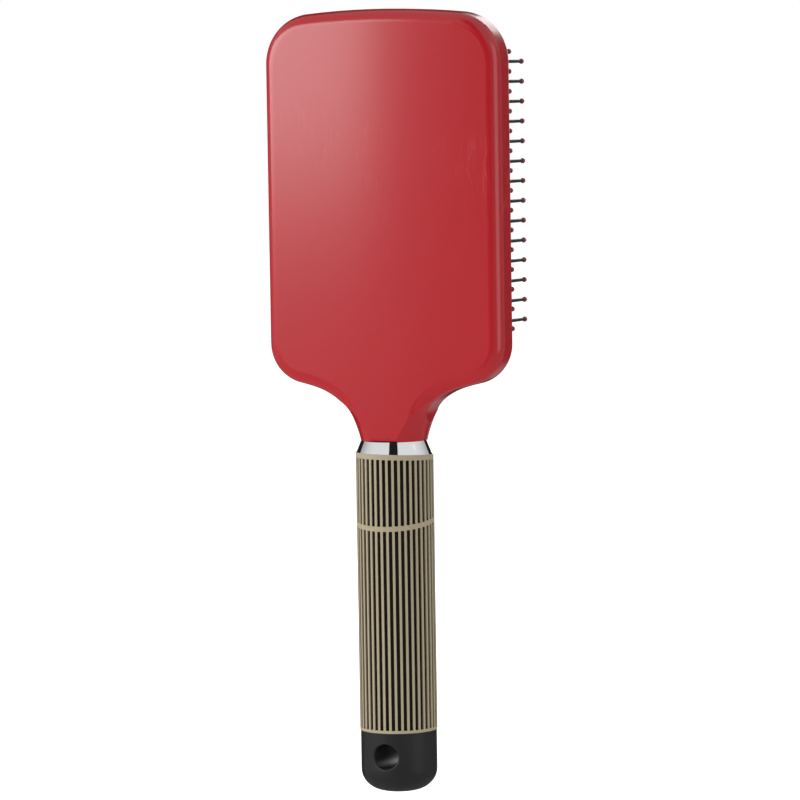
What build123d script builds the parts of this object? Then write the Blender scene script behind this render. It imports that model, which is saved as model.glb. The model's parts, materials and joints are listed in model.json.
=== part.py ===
"""Paddle hairbrush: a lacquered paddle head with an air cushion of ball-tipped pins, and a ribbed grip.

Every length is in millimetres. The origin is the centre of the hang hole, on the handle's axis.
+Z runs up the handle to the top of the paddle, -Y points out of the paddle's smooth back, and the
pins point along +Y. The paddle is symmetric about the YZ plane. Its back is one flat face that runs
down to the collar, so the paddle lies behind the handle's axis.

Two things move. The bed of pins sinks into the cushion along -Y, and each column of pins rocks
sideways about a line along Z where the rubber grips it.
"""

from math import asin, atan2, cos, degrees, radians, sin, sqrt
import os

from build123d import *

# ---- Heights along the handle, from the hang hole ------------------------------------------------
cap_bottom = -12.4
cap_top = 7.6
grip_top = 96.4
collar_top = 100.5
paddle_top = 237.6

# ---- Paddle, seen from the back --------------------------------------------------------------------
paddle_half_width = 39.8
top_arc_radius = 260.0
top_corner_radius = 16.0
bottom_corner_radius = 13.0
bottom_corner_height = 131.6
shoulder_slope = 14.0  # degrees below level, falling towards the neck
neck_radius = 10.6
neck_foot_half_width = 11.8  # of the flat plate, before the round neck is cut from it
neck_waist = [(21.4, 116.5), (13.0, 109.5)]  # half width and height down the flank
neck_lean = 12.0  # degrees that the flank leans out at the collar
neck_flare = [(12.1, 105.6), (14.4, 110.4), (18.2, 114.0), (33.0, 118.2)]  # radius and height
flare_end = (62.0, 121.0)
neck_front_dip = (5.0, 112.2)  # how far in front of the axis the neck's front is, and where

# ---- Paddle, seen from the side --------------------------------------------------------------------
back_y = -9.9
front_y = 3.1
seam_y = -1.5
back_crown_radius = 600.0
back_edge_radius = 4.1
front_edge_radius = 1.2
front_flat_bottom = 123.1
back_wall = 2.0

# ---- Cushion and its chamber -----------------------------------------------------------------------
cushion_centre = 179.1
opening_half_width = 35.5
opening_half_length = 53.5
opening_corner_radius = 11.0
slip_gap = 0.1
ledge_width = 1.0
flange_width = 1.6
flange_thickness = 1.7
cushion_wall = 1.4
dome_apex = 8.1
dome_radius = 234.0
cushion_edge_radius = 1.2

# ---- Pins ------------------------------------------------------------------------------------------
column_count = 17
column_spacing = 4.1
row_spacing = 6.35
rows_in_even_column = 16
rows_in_odd_column = 15
pin_length = 19.2
pin_root_radius = 0.65
pin_end_radius = 0.5
pin_hole_radius = 0.75
pin_head_radius = 1.0
pin_head_thickness = 0.6
pin_head_gap = 0.1
ball_radius = 0.85
backing_gap = 0.3
backing_thickness = 1.0
backing_inset = 0.6

# ---- Handle ----------------------------------------------------------------------------------------
grip_radius = 12.4
cap_radius = 12.2
cap_shoulder = 7.6
cap_dome_point = (9.7, 2.2)  # radius, and height above the bottom
collar_foot_radius = 12.3
register_radius = 8.8
core_radius = 10.2
core_bore_radius = 8.0
fit_gap = 0.05
tang_bottom = 62.0
spigot_top = 26.0
rib_count = 40
groove_width = 1.15
groove_depth = 1.1
top_band = 1.7
middle_band = 1.6
bottom_band = 0.9
middle_band_height = 74.8
middle_band_dip = 1.8  # the band is this much lower at the back and higher at the front
grip_top_rise = 0.5  # the sleeve's top edge is this much higher at one side, and lower opposite
grip_top_azimuth = -35.0  # that side, in degrees from the back towards +X
hang_hole_radius = 4.0
hang_hole_lip = 0.5

# ---- Cutting blocks --------------------------------------------------------------------------------
beyond = 5.0  # how far a cutting block stands past the face it cuts
block_size = 600.0

grip_low_top = grip_top - grip_top_rise
grip_high_top = grip_top + grip_top_rise
on_base = (Align.CENTER, Align.CENTER, Align.MIN)
from_floor = (Align.MIN, Align.CENTER, Align.MIN)


def slab(face, low_y, high_y):
    """A face drawn with x across and z up, made a solid from low_y to high_y."""
    return extrude(Plane.XZ.offset(-high_y) * face, amount=high_y - low_y)


def pad_slab(grow, low_y, high_y):
    """A slab with the cushion opening's rounded outline, grown or shrunk all round."""
    outline = RectangleRounded(
        2 * (opening_half_width + grow),
        2 * (opening_half_length + grow),
        opening_corner_radius + grow,
    )
    return slab(Pos(0, cushion_centre) * outline, low_y, high_y)


def post(radius, low_z, high_z):
    """A cylinder on the handle's axis."""
    return Pos(0, 0, low_z) * Cylinder(radius, high_z - low_z, align=on_base)


def barrel(depth):
    """The solid under a surface that lies this deep below the cushion's outer face."""
    length = 2 * (opening_half_length + beyond)
    return Pos(0, dome_apex - dome_radius, cushion_centre) * Cylinder(dome_radius - depth, length)


def above_grip(height, rise, azimuth):
    """A block above the plane that crosses the axis at a height and rises towards an azimuth."""
    lean = degrees(atan2(rise, grip_radius))
    block = Box(block_size, block_size, block_size, align=on_base)
    return Pos(0, 0, height) * Rot(Z=azimuth) * Rot(X=-lean) * block


def head_outline():
    """The paddle and neck as seen from the back, as a face."""
    top_centre = paddle_top - top_arc_radius
    reach = top_arc_radius - top_corner_radius
    corner_x = paddle_half_width - top_corner_radius
    corner_z = top_centre + sqrt(reach**2 - corner_x**2)
    stretch = top_arc_radius / reach
    top_end = (corner_x * stretch, top_centre + (corner_z - top_centre) * stretch)
    top_side = (paddle_half_width, corner_z)
    low_side = (paddle_half_width, bottom_corner_height)
    slope = radians(shoulder_slope)
    shoulder = (
        paddle_half_width - bottom_corner_radius + bottom_corner_radius * sin(slope),
        bottom_corner_height - bottom_corner_radius * cos(slope),
    )
    diagonal = sqrt(0.5)
    top_corner_middle = (
        corner_x + top_corner_radius * diagonal,
        corner_z + top_corner_radius * diagonal,
    )
    turn = radians(45 - shoulder_slope / 2)
    bottom_corner_middle = (
        paddle_half_width - bottom_corner_radius * (1 - cos(turn)),
        bottom_corner_height - bottom_corner_radius * sin(turn),
    )
    lean = radians(neck_lean)
    flank = Spline(
        [shoulder, *neck_waist, (neck_foot_half_width, collar_top)],
        tangents=[(-cos(slope), -sin(slope)), (-sin(lean), -cos(lean))],
    )
    half = [
        ThreePointArc(top_end, top_corner_middle, top_side),
        Line(top_side, low_side),
        ThreePointArc(low_side, bottom_corner_middle, shoulder),
        flank,
    ]
    other_half = [mirror(edge, about=Plane.YZ) for edge in half]
    top = ThreePointArc((-top_end[0], top_end[1]), (0, paddle_top), top_end)
    foot = Line((-neck_foot_half_width, collar_top), (neck_foot_half_width, collar_top))
    return make_face([top, *half, foot, *other_half])


def front_relief():
    """What is cut off in front: the space before the paddle's face and the neck's front curve."""
    far = 4 * neck_radius
    above = paddle_top + beyond
    lean = radians(neck_lean)
    curve = Spline(
        [(front_y, front_flat_bottom), neck_front_dip, (neck_radius, collar_top)],
        tangents=[(0, -1), (sin(lean), -cos(lean))],
    )
    rest = Polyline(
        (neck_radius, collar_top), (far, collar_top), (far, above), (front_y, above),
        (front_y, front_flat_bottom),
    )
    face = Plane.YZ.offset(-block_size / 2) * make_face([curve, *rest.edges()])
    return extrude(face, amount=block_size)


def neck_envelope():
    """The flaring round shape that the neck is cut from, open above the shoulders."""
    lean = radians(neck_lean)
    flank = Spline(
        [(neck_radius, collar_top), *neck_flare, flare_end],
        tangents=[(sin(lean), cos(lean)), (1, 0.05)],
    )
    top = paddle_top + beyond
    rest = Polyline(flare_end, (flare_end[0], top), (0, top), (0, collar_top), (neck_radius, collar_top))
    return revolve(Plane.XZ * make_face([flank, *rest.edges()]), Axis.Z, 360)


def rim(solid, low_y, high_y):
    """The edges of a plate's rim between two depths, without those that run straight across the neck."""

    def wanted(edge):
        middle = edge.center()
        crosses = abs(middle.X) < fit_gap and middle.Z < cushion_centre
        return low_y < middle.Y < high_y and not crosses

    return solid.edges().filter_by(wanted)


def head_solid():
    """Paddle and neck as one body, before it is split and hollowed."""
    plate = slab(head_outline(), back_y, neck_foot_half_width)
    crown = Cylinder(back_crown_radius, block_size)
    plate = plate & (Pos(0, back_y + back_crown_radius, cushion_centre) * crown)
    plate = fillet(rim(plate, back_y - beyond, seam_y - beyond), back_edge_radius)
    plate = plate - front_relief()
    plate = fillet(rim(plate, front_y - front_edge_radius, neck_radius), front_edge_radius)
    return plate & neck_envelope()


def head_back_shell(head):
    """The smooth back with the chamber's floor, the collar's register and the tang."""
    behind = Box(block_size, block_size, block_size, align=(Align.CENTER, Align.MAX, Align.CENTER))
    shell = head & (Pos(0, seam_y, 0) * behind)
    shell -= pad_slab(-ledge_width, back_y + back_wall, seam_y + beyond)
    shell += post(register_radius, grip_low_top, collar_top)
    return shell + post(core_bore_radius - fit_gap, tang_bottom, grip_low_top)


def head_front_shell(head):
    """The frame round the cushion, with the groove that holds the cushion's flange."""
    ahead = Box(block_size, block_size, block_size, align=(Align.CENTER, Align.MIN, Align.CENTER))
    shell = head & (Pos(0, seam_y, 0) * ahead)
    shell -= pad_slab(0, seam_y - beyond, front_y + beyond)
    groove_top = seam_y + flange_thickness + slip_gap
    return shell - pad_slab(flange_width + slip_gap, seam_y - beyond, groove_top)


def cushion(columns):
    """The rubber pad: a domed skin with a skirt and a flange, pierced for the pins."""
    skin = pad_slab(-slip_gap, seam_y, dome_apex + beyond) & barrel(0)
    edge = skin.edges().filter_by(lambda item: item.center().Y > front_y)
    skin = fillet(edge, cushion_edge_radius)
    skin += pad_slab(flange_width, seam_y, seam_y + flange_thickness)
    inside = -slip_gap - cushion_wall
    skin -= pad_slab(inside, seam_y - beyond, dome_apex + beyond) & barrel(cushion_wall)
    hole = Cylinder(pin_hole_radius, 4 * cushion_wall)
    return skin - [place * hole for places in columns for place in places]


def pin_backing_sheet():
    """The felt sheet behind the heads of the pins, which keeps them from being pushed in."""
    depth = cushion_wall + pin_head_gap + pin_head_thickness + backing_gap
    outline = -slip_gap - cushion_wall - backing_inset
    sheet = pad_slab(outline, seam_y - beyond, dome_apex + beyond)
    return (sheet & barrel(depth)) - barrel(depth + backing_thickness)


def pin_places(column):
    """Where the pins of a column leave the rubber, as locations whose z axis points along the pin."""
    offset = column - column_count // 2
    count = rows_in_even_column if offset % 2 == 0 else rows_in_odd_column
    if abs(offset) == column_count // 2:
        count -= 2  # the opening's corners take the end pins
    lean = asin(offset * column_spacing / dome_radius)
    foot_x = dome_radius * sin(lean)
    foot_y = dome_apex - dome_radius + dome_radius * cos(lean)
    heights = [cushion_centre + (row - (count - 1) / 2) * row_spacing for row in range(count)]
    return [
        Plane(origin=(foot_x, foot_y, height), x_dir=(0, 0, 1), z_dir=(sin(lean), cos(lean), 0)).location
        for height in heights
    ]


def pin():
    """One tapered nylon pin, with its flat head under the rubber."""
    under = cushion_wall + pin_head_gap
    shaft = Cone(pin_root_radius, pin_end_radius, pin_length + under, align=on_base)
    head = Pos(0, 0, -pin_head_thickness) * Cylinder(pin_head_radius, pin_head_thickness, align=on_base)
    return Pos(0, 0, -under) * (shaft + head)


def ball():
    """The ball on a pin's end, flat where it meets the pin."""
    sit = sqrt(ball_radius**2 - pin_end_radius**2)
    keep = Box(beyond, beyond, beyond, align=on_base)
    return Pos(0, 0, pin_length) * ((Pos(0, 0, sit) * Sphere(ball_radius)) & keep)


def grip_sleeve():
    """The ribbed rubber sleeve, with plain bands at its ends and one inclined band between."""
    sleeve = post(grip_radius, cap_top, grip_high_top)
    sleeve -= above_grip(grip_top, grip_top_rise, grip_top_azimuth)
    sleeve -= post(core_radius + fit_gap, cap_top, grip_high_top)
    grooves = []
    for rib in range(rib_count):
        turn = 360 / rib_count * (rib + 0.5)
        back = -sin(radians(turn))
        raised = cos(radians(turn - 90 - grip_top_azimuth + 180))
        band = middle_band_height - middle_band_dip * back
        top = grip_top - top_band + grip_top_rise * raised
        for low, high in [(cap_top + bottom_band, band - middle_band / 2), (band + middle_band / 2, top)]:
            groove = Box(2 * groove_depth, groove_width, high - low, align=from_floor)
            grooves.append(Rot(Z=turn) * Pos(grip_radius - groove_depth, 0, low) * groove)
    return sleeve - grooves


def collar():
    """The bright ferrule between the neck and the sleeve."""
    growth = (collar_foot_radius - neck_radius) / (collar_top - grip_top)
    foot_radius = neck_radius + growth * (collar_top - grip_low_top)
    ring = Pos(0, 0, grip_low_top) * Cone(foot_radius, neck_radius, collar_top - grip_low_top, align=on_base)
    ring = ring & above_grip(grip_top, grip_top_rise, grip_top_azimuth)
    return ring - post(register_radius + fit_gap, grip_low_top, collar_top)


def handle_core():
    """The stiff tube inside the sleeve, closed by the tang above and the cap's spigot below."""
    return post(core_radius, cap_top, grip_low_top) - post(core_bore_radius, cap_top, grip_low_top)


def end_cap():
    """The rounded black cap, plugged into the core and drilled for hanging."""
    shoulder = cap_bottom + cap_shoulder
    corner = (cap_dome_point[0], cap_bottom + cap_dome_point[1])
    side = Polyline((0, cap_bottom), (0, cap_top), (cap_radius, cap_top), (cap_radius, shoulder))
    dome = Spline([(cap_radius, shoulder), corner, (0, cap_bottom)], tangents=[(0, -1), (-1, 0)])
    cap = revolve(Plane.XZ * make_face([*side.edges(), dome]), Axis.Z, 360)
    cap -= Rot(X=90) * Cylinder(hang_hole_radius, 4 * cap_radius)
    reach = hang_hole_radius + fit_gap
    mouths = cap.edges().filter_by(
        lambda edge: edge.bounding_box().size.X > hang_hole_radius
        and abs(edge.bounding_box().max.X) < reach
        and abs(edge.bounding_box().min.X) < reach
        and abs(edge.center().Z) < reach
        and abs(edge.center().Y) > cap_radius / 2
    )
    cap = fillet(mouths, hang_hole_lip)
    return cap + post(core_bore_radius - fit_gap, cap_top, spigot_top)


def write(node, shape):
    """Writes one node's solids to its STEP file."""
    export_step(shape, f"parts/{node}.step")


os.makedirs("parts", exist_ok=True)
columns = [pin_places(column) for column in range(column_count)]
head = head_solid()
write("head_back_shell", head_back_shell(head))
write("head_front_shell", head_front_shell(head))
write("cushion", cushion(columns))
write("pin_backing_sheet", pin_backing_sheet())
write("grip_sleeve", grip_sleeve())
write("neck_collar", collar())
write("handle_core", handle_core())
write("end_cap", end_cap())
for number, places in enumerate(columns, 1):
    write(f"pins_col_{number:02d}", Compound(children=[place * pin() for place in places]))
    write(f"tips_col_{number:02d}", Compound(children=[place * ball() for place in places]))
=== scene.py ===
# %% [markdown]
# # A paddle hairbrush
# The CAD model already holds every hard part at its real size and place. This lesson gives each
# part its finish, makes the rubber cushion again with the detail it deserves, and lights the brush.
# Everything is in metres. The handle runs along Z, the smooth back faces -Y, the pins point to +Y.

# %% Load the frame
import json
import math

import bmesh
import bpy
from mathutils import Matrix, Quaternion, Vector


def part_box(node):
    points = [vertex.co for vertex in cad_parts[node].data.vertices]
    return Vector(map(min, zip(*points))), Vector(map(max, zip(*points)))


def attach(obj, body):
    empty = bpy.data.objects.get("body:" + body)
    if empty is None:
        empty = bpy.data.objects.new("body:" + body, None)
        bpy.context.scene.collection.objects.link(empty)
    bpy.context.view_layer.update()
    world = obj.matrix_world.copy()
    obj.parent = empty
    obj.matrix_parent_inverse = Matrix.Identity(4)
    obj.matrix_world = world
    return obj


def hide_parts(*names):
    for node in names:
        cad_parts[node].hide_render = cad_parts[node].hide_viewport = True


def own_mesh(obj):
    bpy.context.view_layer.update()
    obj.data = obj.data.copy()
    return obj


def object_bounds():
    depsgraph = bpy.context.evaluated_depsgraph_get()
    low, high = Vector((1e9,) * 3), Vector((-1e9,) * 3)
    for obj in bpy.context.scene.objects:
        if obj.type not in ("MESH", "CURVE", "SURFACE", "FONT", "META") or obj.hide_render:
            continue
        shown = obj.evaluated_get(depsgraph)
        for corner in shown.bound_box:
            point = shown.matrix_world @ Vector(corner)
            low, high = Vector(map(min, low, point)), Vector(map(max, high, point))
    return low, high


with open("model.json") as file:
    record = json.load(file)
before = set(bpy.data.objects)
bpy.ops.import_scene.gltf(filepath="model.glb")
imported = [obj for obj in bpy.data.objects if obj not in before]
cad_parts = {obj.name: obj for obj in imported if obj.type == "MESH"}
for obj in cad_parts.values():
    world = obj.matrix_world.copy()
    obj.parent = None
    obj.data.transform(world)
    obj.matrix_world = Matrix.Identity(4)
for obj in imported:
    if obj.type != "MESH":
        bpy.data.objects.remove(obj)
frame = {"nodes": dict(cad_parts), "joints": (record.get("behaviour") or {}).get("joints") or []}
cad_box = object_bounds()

MM = 0.001
low, high = cad_box
print("size in mm:", [round(value / MM, 1) for value in high - low])

# %% [markdown]
# ## The camera
# The brush is seen from its back, a little from the right and a little from above, by a long lens
# from well away. A long lens is chosen because a short one would make the paddle's top edge climb
# towards the nearer side. The camera is rolled by about a degree, so the brush leans as a
# hand-placed one does.

# %% Place the camera
view_azimuth = math.radians(21.5)
view_elevation = math.radians(4.4)
view_distance = 1.400
view_width = 0.2553  # the width of the picture, measured at the handle's axis
view_roll = math.radians(-0.9)
view_aside = 0.0020  # how far the picture's middle lies to the right of the handle's axis
view_lift = 0.0006  # how far it lies above the middle of the brush

level_toward = Vector((math.sin(view_azimuth), -math.cos(view_azimuth), 0))
rightward = Vector((math.cos(view_azimuth), math.sin(view_azimuth), 0))
toward_eye = level_toward * math.cos(view_elevation) + Vector((0, 0, math.sin(view_elevation)))
middle_height = (low.z + high.z) / 2
aim = rightward * view_aside + Vector((0, 0, middle_height + view_lift))
eye = aim + toward_eye * view_distance

camera_data = bpy.data.cameras.new("camera")
camera_data.sensor_width = 36
camera_data.lens = camera_data.sensor_width * view_distance / view_width
camera = bpy.data.objects.new("camera", camera_data)
bpy.context.collection.objects.link(camera)
camera.rotation_mode = "QUATERNION"
camera.location = eye
camera.rotation_quaternion = (aim - eye).to_track_quat("-Z", "Y") @ Quaternion((0, 0, 1), view_roll)
bpy.context.scene.camera = camera
print("lens in mm:", round(camera_data.lens, 1))

# %% [markdown]
# ## Shader maths as plain expressions
# A finish is mostly arithmetic on numbers that change over the surface. Wiring Math nodes by hand is
# slow to read, so one small class wraps a socket and lets Python's operators add the nodes. A second
# class adds any other node, and a third is a finish: the Principled shader and what feeds it.

# %% A number that changes over a surface
class Field:
    """A socket that carries one number, with Python's operators."""

    def __init__(self, graph, socket):
        self.graph = graph
        self.socket = socket

    def combine(self, operation, first, second):
        node = self.graph.node("ShaderNodeMath", {"operation": operation}, {0: first, 1: second})
        return Field(self.graph, node.outputs[0])

    def __add__(self, other):
        return self.combine("ADD", self, other)

    def __radd__(self, other):
        return self.combine("ADD", other, self)

    def __sub__(self, other):
        return self.combine("SUBTRACT", self, other)

    def __rsub__(self, other):
        return self.combine("SUBTRACT", other, self)

    def __mul__(self, other):
        return self.combine("MULTIPLY", self, other)

    def __rmul__(self, other):
        return self.combine("MULTIPLY", other, self)

    def step(self, start, end):
        """0 below start and 1 above end, with a soft rise between."""
        settings = {"interpolation_type": "SMOOTHSTEP"}
        node = self.graph.node("ShaderNodeMapRange", settings, {0: self, 1: start, 2: end})
        return Field(self.graph, node.outputs[0])


# %% A graph of nodes
class Graph:
    """A node tree, with one method that adds any node."""

    def __init__(self, tree):
        self.tree = tree

    def node(self, kind, settings, inputs):
        made = self.tree.nodes.new(kind)
        for label, value in settings.items():
            setattr(made, label, value)
        for label, value in inputs.items():
            self.join(made.inputs[label], value)
        return made

    def join(self, target, value):
        """Links a socket to the target, or sets the target's own value."""
        if isinstance(value, Field):
            value = value.socket
        if isinstance(value, bpy.types.NodeSocket):
            self.tree.links.new(value, target)
        else:
            target.default_value = value


# %% A finish and its nodes
class Finish(Graph):
    """A material on the Principled shader. Its patterns read Object coordinates."""

    def __init__(self, name, **sockets):
        self.material = bpy.data.materials.new(name)
        self.material.use_nodes = True
        super().__init__(self.material.node_tree)
        self.shader = self.tree.nodes["Principled BSDF"]
        for label, value in sockets.items():
            self.feed(label.replace("_", " ").title(), value)

    def feed(self, label, value):
        aliases = {"Ior": "IOR", "Specular Ior Level": "Specular IOR Level"}
        self.join(self.shader.inputs[aliases.get(label, label)], value)

    def spot(self):
        return self.node("ShaderNodeTexCoord", {}, {}).outputs["Object"]

    def axis(self, label):
        """One Object coordinate, in metres."""
        return Field(self, self.node("ShaderNodeSeparateXYZ", {}, {0: self.spot()}).outputs[label])

    def noise(self, per_metre, detail=2.0, stretch=(1, 1, 1), turn=(0, 0, 0)):
        """Noise of a given fineness. A stretch above 1 makes it that much finer along its axis."""
        mapped = self.node("ShaderNodeMapping", {}, {0: self.spot(), "Rotation": turn, "Scale": stretch})
        inputs = {"Vector": mapped.outputs[0], "Scale": per_metre, "Detail": detail}
        return Field(self, self.node("ShaderNodeTexNoise", {}, inputs).outputs[0])

    def blend(self, amount, first, second):
        """From one colour to another as amount goes from 0 to 1."""
        made = self.node("ShaderNodeMix", {"data_type": "RGBA"}, {0: amount, 6: first, 7: second})
        return made.outputs[2]

    def bump(self, height, depth):
        made = self.node("ShaderNodeBump", {}, {"Height": height, "Distance": depth})
        self.feed("Normal", made.outputs[0])


def dress(finish, *nodes):
    """Gives CAD nodes a finish, slot by slot."""
    for name in nodes:
        for slot in frame["nodes"][name].material_slots:
            slot.material = finish.material
    print(finish.material.name, "on", len(nodes), "nodes, from", len(finish.tree.nodes), "shader nodes")


# %% [markdown]
# ## Red lacquer
# The paddle is moulded plastic under a clear gloss. The colour is nearly even, so what makes it real
# is the clear coat over a softer layer, a faint unevenness of the surface, and the fine scuffs that a
# brush picks up on the upper half of its back. Painted scuffs would need an image. Noise needs none:
# made much finer across the paddle than along it, and kept only where it is close to its middle
# value, it leaves thin threads. Three sets read the noise at other angles, so they do not coincide.

# %% Make the lacquer
lacquer = Finish("red_lacquer", coat_weight=0.80, coat_roughness=0.17, ior=1.5, specular_ior_level=0.15)
thread_value = 0.500  # a thread lies where its noise has this value
thread_reach = 0.005  # and fades out this far to either side of it
thread_finer = 14
scuffs_start, scuffs_full = 0.150, 0.200  # heights between which the scuffs appear

tone = lacquer.noise(18, detail=3)
rubbed = 0
for angle, per_metre in ((0.35, 26), (-0.75, 19), (1.2, 15)):
    line = lacquer.noise(per_metre, detail=4, stretch=(thread_finer, 1, 1), turn=(0, angle, 0))
    rising = line.step(thread_value - thread_reach, thread_value)
    falling = 1 - line.step(thread_value, thread_value + thread_reach)
    rubbed = rising * falling + rubbed
patch = lacquer.noise(30, detail=2).step(0.50, 0.66)
worn = rubbed * patch * lacquer.axis("Z").step(scuffs_start, scuffs_full)

deep_red = (0.290, 0.005, 0.009, 1)
light_red = (0.335, 0.007, 0.012, 1)
scuff_red = (0.400, 0.045, 0.050, 1)
lacquer.feed("Base Color", lacquer.blend(worn * 0.5, lacquer.blend(tone, deep_red, light_red), scuff_red))
lacquer.feed("Roughness", 0.30 + tone * 0.06 + worn * 0.25)
lacquer.bump(lacquer.noise(260, detail=1) + worn * -0.6, depth=0.02 * MM)
dress(lacquer, "head_back_shell", "head_front_shell")

# %% [markdown]
# ## Bright plate
# The collar is plated, so it is a mirror with only a trace of handling. It takes its look from what
# stands round it, so its finish stays simple and the studio at the end does the work.

# %% Make the collar's plate
plate = Finish("bright_plate", base_color=(0.84, 0.85, 0.87, 1), metallic=1.0)
plate.feed("Roughness", 0.03 + plate.noise(220, detail=3).step(0.45, 0.75) * 0.05)
dress(plate, "neck_collar")

# %% [markdown]
# ## Ribbed rubber
# The grip's khaki ribs stand up from grooves, and the grooves are coloured near-black as painted
# shade. The ribs are real geometry, so they need no pattern. The distance from the handle's axis
# says which is rib and which is groove, and comparing squared distances saves a square root.

# %% Make the grip's rubber
grip_low, grip_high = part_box("grip_sleeve")
grip_radius = (grip_high.x - grip_low.x) / 2
all_groove = 0.9 * MM  # depths below the ribs' tops
all_rib = 0.12 * MM

rubber = Finish("grip_rubber", ior=1.45)
sideways = rubber.axis("X")
outward = rubber.axis("Y")
squared = sideways * sideways + outward * outward
# Painted shade: the grooves are coloured near-black for the shade that falls into them.
painted_groove_shade = 1 - squared.step((grip_radius - all_groove) ** 2, (grip_radius - all_rib) ** 2)
grain = rubber.noise(900, detail=4)
dust = rubber.noise(70, detail=3, stretch=(1, 1, 0.3))
khaki = rubber.blend(dust, (0.248, 0.204, 0.132, 1), (0.318, 0.268, 0.178, 1))
# The near-black of the painted shade in the grooves.
groove_shade_black = (0.012, 0.009, 0.005, 1)
rubber.feed("Base Color", rubber.blend(painted_groove_shade, khaki, groove_shade_black))
rubber.feed("Roughness", 0.62 + grain * 0.16)
rubber.bump(grain, depth=0.05 * MM)
dress(rubber, "grip_sleeve")

# %% [markdown]
# ## Moulded plastics, felt and the cushion's rubber
# The cap is satin plastic with a fine spark-eroded grain, the pins are smooth nylon, and their tips
# are glossy. Each could be written out on its own, but they differ only in two close colours, a
# roughness and a grain, so one function makes them all.

# %% Make the plastics
def plastic(name, dark, light, rough, grain_per_metre, grain_depth, **sockets):
    """A plain moulded finish: two close colours in soft drifts, and a fine grain."""
    made = Finish(name, **sockets)
    made.feed("Base Color", made.blend(made.noise(60, detail=3), dark, light))
    grain = made.noise(grain_per_metre, detail=2)
    made.feed("Roughness", rough + grain * 0.10)
    made.bump(grain, grain_depth)
    return made


cap_black = plastic(
    "cap_plastic", dark=(0.011, 0.010, 0.011, 1), light=(0.017, 0.016, 0.017, 1),
    rough=0.36, grain_per_metre=2400, grain_depth=0.02 * MM, specular_ior_level=0.25,
)
core_black = plastic(
    "core_plastic", dark=(0.02, 0.02, 0.02, 1), light=(0.03, 0.03, 0.03, 1),
    rough=0.45, grain_per_metre=1500, grain_depth=0.02 * MM,
)
pin_black = plastic(
    "pin_nylon", dark=(0.010, 0.010, 0.010, 1), light=(0.018, 0.018, 0.018, 1),
    rough=0.30, grain_per_metre=3000, grain_depth=0.01 * MM,
)
tip_red = plastic(
    "tip_red", dark=(0.150, 0.006, 0.010, 1), light=(0.230, 0.010, 0.016, 1),
    rough=0.20, grain_per_metre=2500, grain_depth=0.01 * MM,
)
felt = plastic(
    "felt", dark=(0.05, 0.05, 0.05, 1), light=(0.09, 0.09, 0.09, 1),
    rough=0.85, grain_per_metre=4000, grain_depth=0.15 * MM,
)
pad_black = plastic(
    "cushion_rubber", dark=(0.016, 0.016, 0.016, 1), light=(0.026, 0.026, 0.026, 1),
    rough=0.50, grain_per_metre=1800, grain_depth=0.03 * MM,
)

# %% Put them on their nodes
pin_nodes = sorted(name for name in frame["nodes"] if name.startswith("pins_col_"))
tip_nodes = sorted(name for name in frame["nodes"] if name.startswith("tips_col_"))
dress(cap_black, "end_cap")
dress(core_black, "handle_core")
dress(pin_black, *pin_nodes)
dress(tip_red, *tip_nodes)
dress(felt, "pin_backing_sheet")

# %% [markdown]
# ## The cushion
# The cushion is a moulded rubber skin, domed across the paddle and held by its rim. It is not stuffed,
# so nothing is simulated: the outline is one face with rounded corners, sliced into a grid so that
# it can bend, drawn up into a skirt and then domed. Solidify gives the skin its thickness inwards.

# %% Work out the cushion's sizes from the frame
pad_low, pad_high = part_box("cushion")
flange = 1.7 * MM  # the part of the rim that the front shell hides
corner = 10.9 * MM
skin = 1.4 * MM
dome_radius = 234 * MM
apex = pad_high.y
skirt_foot = 0.3 * MM
half_width = (pad_high.x - pad_low.x) / 2 - flange
half_length = (pad_high.z - pad_low.z) / 2 - flange
pad_middle = (pad_high.z + pad_low.z) / 2
print("cushion in mm:", round(2 * half_width / MM, 1), "by", round(2 * half_length / MM, 1))


def dome(x):
    """Height of the cushion's outer face at a distance across the paddle."""
    return apex - dome_radius + math.sqrt(dome_radius**2 - x * x)


# %% From a bmesh to an object
def made_object(name, bm, material):
    """Makes an object of one material from a bmesh, at the origin, unturned and unscaled."""
    mesh = bpy.data.meshes.new(name)
    bm.to_mesh(mesh)
    bm.free()
    mesh.materials.append(material)
    made = bpy.data.objects.new(name, mesh)
    bpy.context.collection.objects.link(made)
    return made


def rubber_piece(name, bm):
    """Makes a smooth-shaded piece of the cushion's rubber, with its faces pointing outwards."""
    bmesh.ops.recalc_face_normals(bm, faces=bm.faces)
    for face in bm.faces:
        face.smooth = True
    piece = made_object(name, bm, pad_black.material)
    return piece


# %% Draw and slice the outline
bm = bmesh.new()
bmesh.ops.create_grid(bm, x_segments=1, y_segments=1, size=1)
bmesh.ops.scale(bm, verts=bm.verts, vec=(half_width, half_length, 1))
bmesh.ops.bevel(
    bm, geom=bm.verts[:], offset=corner, affect="VERTICES", segments=12, profile=0.5, material=-1
)
slice_width = 2.2 * MM
for reach, normal in ((half_width, Vector((1, 0, 0))), (half_length, Vector((0, 1, 0)))):
    count = int(reach / slice_width)
    for index in range(-count, count + 1):
        everything = bm.verts[:] + bm.edges[:] + bm.faces[:]
        bmesh.ops.bisect_plane(bm, geom=everything, plane_co=normal * index * slice_width, plane_no=normal)
print("faces in the outline:", len(bm.faces))

# %% Raise the skirt and dome the top
foot = bm.faces[:]
grown = bmesh.ops.extrude_face_region(bm, geom=foot)["geom"]
top = {item for item in grown if isinstance(item, bmesh.types.BMVert)}
crown = {item for item in grown if isinstance(item, bmesh.types.BMFace)}
bmesh.ops.delete(bm, geom=foot, context="FACES")
bmesh.ops.translate(bm, verts=[vert for vert in bm.verts if vert not in top], vec=(0, 0, skirt_foot))
for vert in top:
    vert.co.z = dome(vert.co.x)
print("faces with the skirt:", len(bm.faces))

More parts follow.
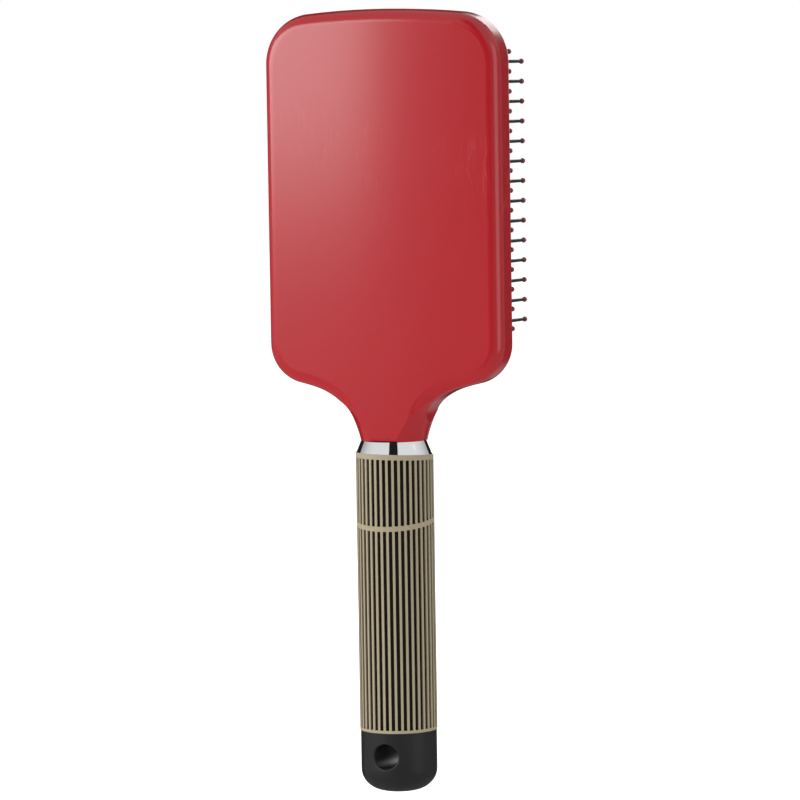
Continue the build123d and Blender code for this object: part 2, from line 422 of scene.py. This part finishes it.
# %% Round the edge between top and skirt, and turn the skin to face the pins
lip_radius = 1.2 * MM
lip = [edge for edge in bm.edges if sum(face in crown for face in edge.link_faces) == 1]
bmesh.ops.bevel(
    bm, geom=lip, offset=lip_radius, affect="EDGES", segments=4, profile=0.5, material=-1, clamp_overlap=True
)
bmesh.ops.rotate(bm, verts=bm.verts, cent=(0, 0, 0), matrix=Matrix.Rotation(math.radians(-90), 3, "X"))
bmesh.ops.translate(bm, verts=bm.verts, vec=(0, 0, pad_middle))
pad = rubber_piece("cushion_pad", bm)
wall = pad.modifiers.new("wall", "SOLIDIFY")
wall.thickness = skin
wall.offset = -1
print("faces in the cushion:", len(pad.data.polygons), "edges rounded:", len(lip))

# %% [markdown]
# ## Bosses round the pins
# Each pin leaves the rubber through a small raised collar. There are hundreds, so each is one low
# cone of few faces, standing where its pin does and leaning as it leans.

# %% Find where the pins leave the rubber
ball_radius = 0.85 * MM
row_spacing = 6.35 * MM


def feet_of(name):
    """Where a column's pins leave the rubber: the column's place across, and one height per ball."""
    number = name[-2:]
    joint = next(item for item in frame["joints"] if item["name"] == f"col_{number}_rock")
    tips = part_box(f"tips_col_{number}")
    span = tips[1].z - tips[0].z - 2 * ball_radius
    count = round(span / row_spacing) + 1
    heights = [tips[0].z + ball_radius + span * index / (count - 1) for index in range(count)]
    return joint["pos_m"][0], heights


print("pins:", sum(len(feet_of(name)[1]) for name in pin_nodes))

# %% Stand a boss at each pin
boss_foot = 1.45 * MM
boss_top = 0.95 * MM
boss_height = 0.6 * MM
boss_lift = 0.15 * MM  # how far its middle stands above the rubber

bm = bmesh.new()
for name in pin_nodes:
    x, heights = feet_of(name)
    lean = Matrix.Rotation(-math.asin(x / dome_radius), 4, "Z") @ Matrix.Rotation(math.radians(-90), 4, "X")
    for height in heights:
        place = Matrix.Translation((x, dome(x) + boss_lift, height)) @ lean
        bmesh.ops.create_cone(
            bm, cap_ends=True, cap_tris=False, segments=12, radius1=boss_foot, radius2=boss_top,
            depth=boss_height, matrix=place,
        )
bosses = rubber_piece("cushion_bosses", bm)
print("bosses' faces:", len(bosses.data.polygons))

# %% [markdown]
# ## How far the cushion would sink
# The pins sink into the head together, on one slide. Real rubber sinks most where it is pressed.
# Flattening the whole skin towards its foot, by the pins' travel at its highest point, would keep the
# bosses round their pins and need no bending. Here the cushion's pieces only ride with the head, and
# the share of the cushion that such flattening would leave is worked out and printed.

# %% Hold the cushion with the head and work out how far it would sink
press = next(item for item in frame["joints"] if item["name"] == "cushion_press")
travel = press["range_m"][1]
left_over = (apex - skirt_foot - travel) / (apex - skirt_foot)
for piece in (pad, bosses):
    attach(piece, "head")
    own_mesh(piece)
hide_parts("cushion")
print("share of the cushion left when pressed:", round(left_over, 3))

# %% [markdown]
# ## The room and the floor
# The background is plain white, but a room that is white all round would wash out every gloss. So
# the camera sees white, and everything else sees a dimmer room that brightens overhead, as under a
# lit ceiling. The pale floor lies below the brush and is kept out of reflections, because the lacquer
# would mirror it along the neck's side.

# %% Paint the room
horizon_glow, overhead_glow = 0.26, 0.80
rise_start, rise_end = 0.10, 0.55  # how steeply upward a direction points where the glow changes
white = (1, 1, 1, 1)

bpy.context.scene.view_settings.view_transform = "Standard"
world = bpy.data.worlds.new("studio")
world.use_nodes = True
bpy.context.scene.world = world
air = Graph(world.node_tree)
backdrop = air.tree.nodes["Background"]
air.join(backdrop.inputs["Color"], white)
air.join(backdrop.inputs["Strength"], 1.0)
direction = air.node("ShaderNodeTexCoord", {}, {}).outputs["Generated"]
upward = air.node("ShaderNodeSeparateXYZ", {}, {0: direction}).outputs["Z"]
levels = {
    "Value": upward, "From Min": rise_start, "From Max": rise_end,
    "To Min": horizon_glow, "To Max": overhead_glow,
}
glow = air.node("ShaderNodeMapRange", {"interpolation_type": "SMOOTHSTEP"}, levels).outputs[0]
room = air.node("ShaderNodeBackground", {}, {"Color": white, "Strength": glow}).outputs[0]
seen = air.node("ShaderNodeLightPath", {}, {}).outputs["Is Camera Ray"]
either = air.node("ShaderNodeMixShader", {}, {0: seen, 1: room, 2: backdrop.outputs[0]}).outputs[0]
air.join(air.tree.nodes["World Output"].inputs[0], either)
print("nodes in the room:", len(air.tree.nodes))

# %% Lay the floor
floor_reach = 6
floor_drop = 0.10

bm = bmesh.new()
bmesh.ops.create_grid(bm, x_segments=1, y_segments=1, size=floor_reach)
bmesh.ops.translate(bm, verts=bm.verts, vec=(0, 0, low.z - floor_drop))
floor_paint = Finish("floor", base_color=(0.93, 0.93, 0.93, 1), roughness=0.9, emission_strength=0.45)
floor_paint.feed("Emission Color", white)
floor = made_object("floor", bm, floor_paint.material)
floor.visible_glossy = False
print("floor's height in mm:", round((low.z - floor_drop) / MM, 1))

# %% [markdown]
# ## Lights and dark cards
# Soft boxes give the brush its shape, a broad one from the left and weaker ones from the right and
# from the pins' side. A mirror such as the collar needs something dark to show, or it looks like
# grey paint. Four dark cards stand round the brush and are seen only in reflections: they draw the
# dark bands on the collar and the deep red line down the paddle's rounded edge.

# %% Stand the soft boxes
def around(azimuth, distance):
    """A level direction from the handle, at an azimuth from the back, as long as the distance."""
    angle = math.radians(azimuth)
    return Vector((math.sin(angle), -math.cos(angle), 0)) * distance


def soft_box(name, azimuth, distance, height, size, power):
    """An area light aimed at the middle of the brush. Its height is above the hang hole."""
    data = bpy.data.lights.new(name, "AREA")
    data.shape = "RECTANGLE"
    data.size, data.size_y = size
    data.energy = power
    light = bpy.data.objects.new(name, data)
    light.location = around(azimuth, distance) + Vector((0, 0, height))
    light.rotation_mode = "QUATERNION"
    light.rotation_quaternion = (Vector((0, 0, middle_height)) - light.location).to_track_quat("-Z", "Y")
    bpy.context.collection.objects.link(light)
    print(name, power, "W")


soft_box("left_box", azimuth=-48, distance=1.3, height=0.42, size=(1.30, 0.56), power=14)
soft_box("right_box", azimuth=80, distance=1.3, height=0.30, size=(0.8, 1.1), power=4)
soft_box("front_box", azimuth=195, distance=1.4, height=0.60, size=(1.2, 1.0), power=6)

# %% Stand the dark cards
card_distance = 0.9
near_black = (0.001, 0.001, 0.001, 1)


def dark_card(name, azimuth, height, size):
    """A flat card that faces the handle and shows only in reflections."""
    bm = bmesh.new()
    bmesh.ops.create_grid(bm, x_segments=1, y_segments=1, size=1)
    bmesh.ops.scale(bm, verts=bm.verts, vec=(size[0] / 2, size[1] / 2, 1))
    spot = around(azimuth, card_distance)
    turn = (-spot).to_track_quat("Z", "Y").to_matrix().to_4x4()
    place = Matrix.Translation(spot + Vector((0, 0, height))) @ turn
    bmesh.ops.transform(bm, matrix=place, verts=bm.verts)
    card = made_object(name, bm, Finish(name, base_color=near_black, roughness=1.0).material)
    card.visible_camera = False
    card.visible_shadow = False
    card.visible_diffuse = False
    print(name, "at azimuth", azimuth)


dark_card("low_gap", azimuth=8, height=0.15, size=(0.46, 0.70))
dark_card("tall_gap", azimuth=17.5, height=1.00, size=(0.50, 2.20))
dark_card("left_gap", azimuth=-140, height=0.60, size=(1.00, 2.00))
dark_card("right_gap", azimuth=160, height=0.60, size=(0.30, 2.00))
